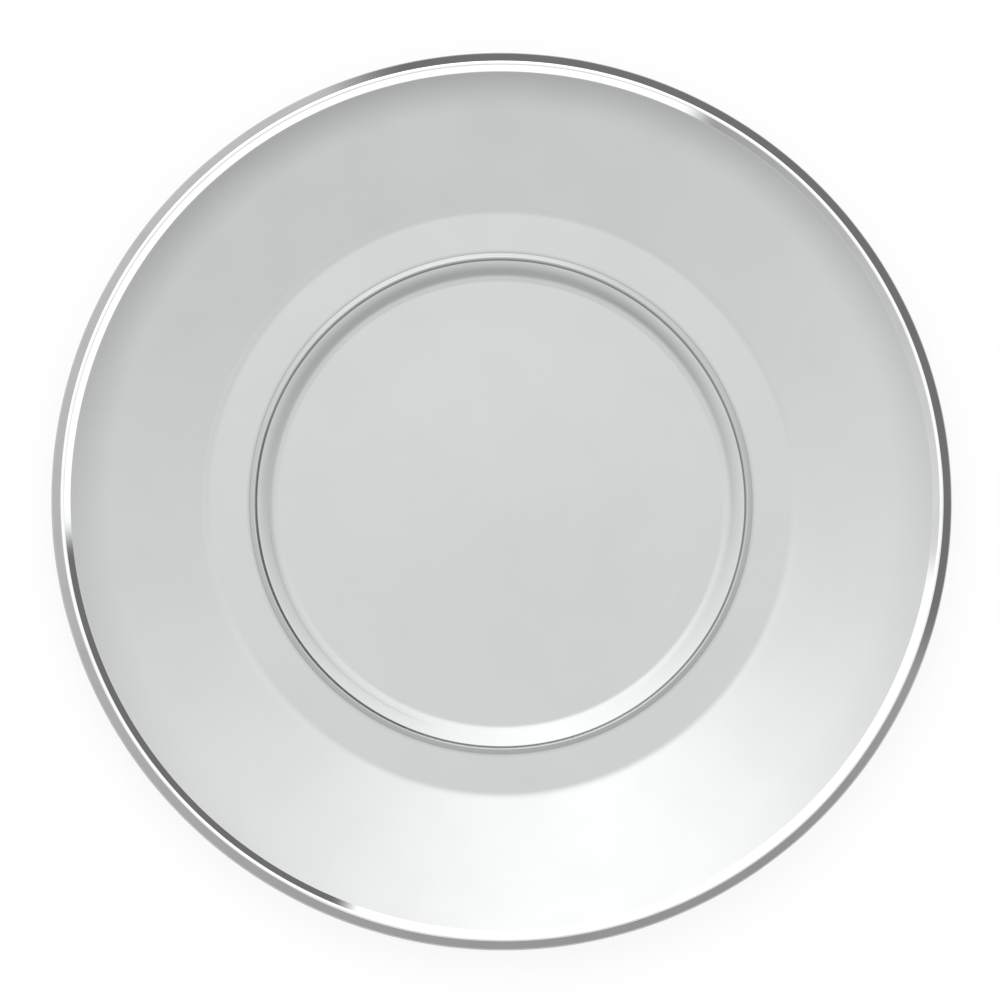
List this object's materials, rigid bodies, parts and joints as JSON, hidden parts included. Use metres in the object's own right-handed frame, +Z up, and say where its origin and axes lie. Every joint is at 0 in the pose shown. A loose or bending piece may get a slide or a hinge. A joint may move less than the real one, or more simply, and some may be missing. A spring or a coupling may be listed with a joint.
{
  "type": "charger plate",
  "caption": "Round polished metal charger plate with a flat well, a raised ring round it, a level ledge, a wide sloping rim and a raised, brighter border.",
  "frame": {"origin": "middle of the flat face that the plate stands on, under its well", "axes": "+Z up, along the plate's axis; X and Y level, in any turn because the plate is round"},
  "size_m": [0.33, 0.33, 0.0181],
  "materials": {
    "polished_sheet": "satin-polished stainless steel with fine turning marks, duller underneath",
    "mirror_border": "mirror-polished, silver-bright steel strip",
    "core_wire": "drawn steel wire",
    "solder": "polished tin-silver solder"
  },
  "bodies": {
    "root": {"plate_body": "polished_sheet", "rim_border": "mirror_border", "rim_core_wire": "core_wire", "upper_solder_seam": "solder", "lower_solder_seam": "solder"}
  },
  "joints": []
}
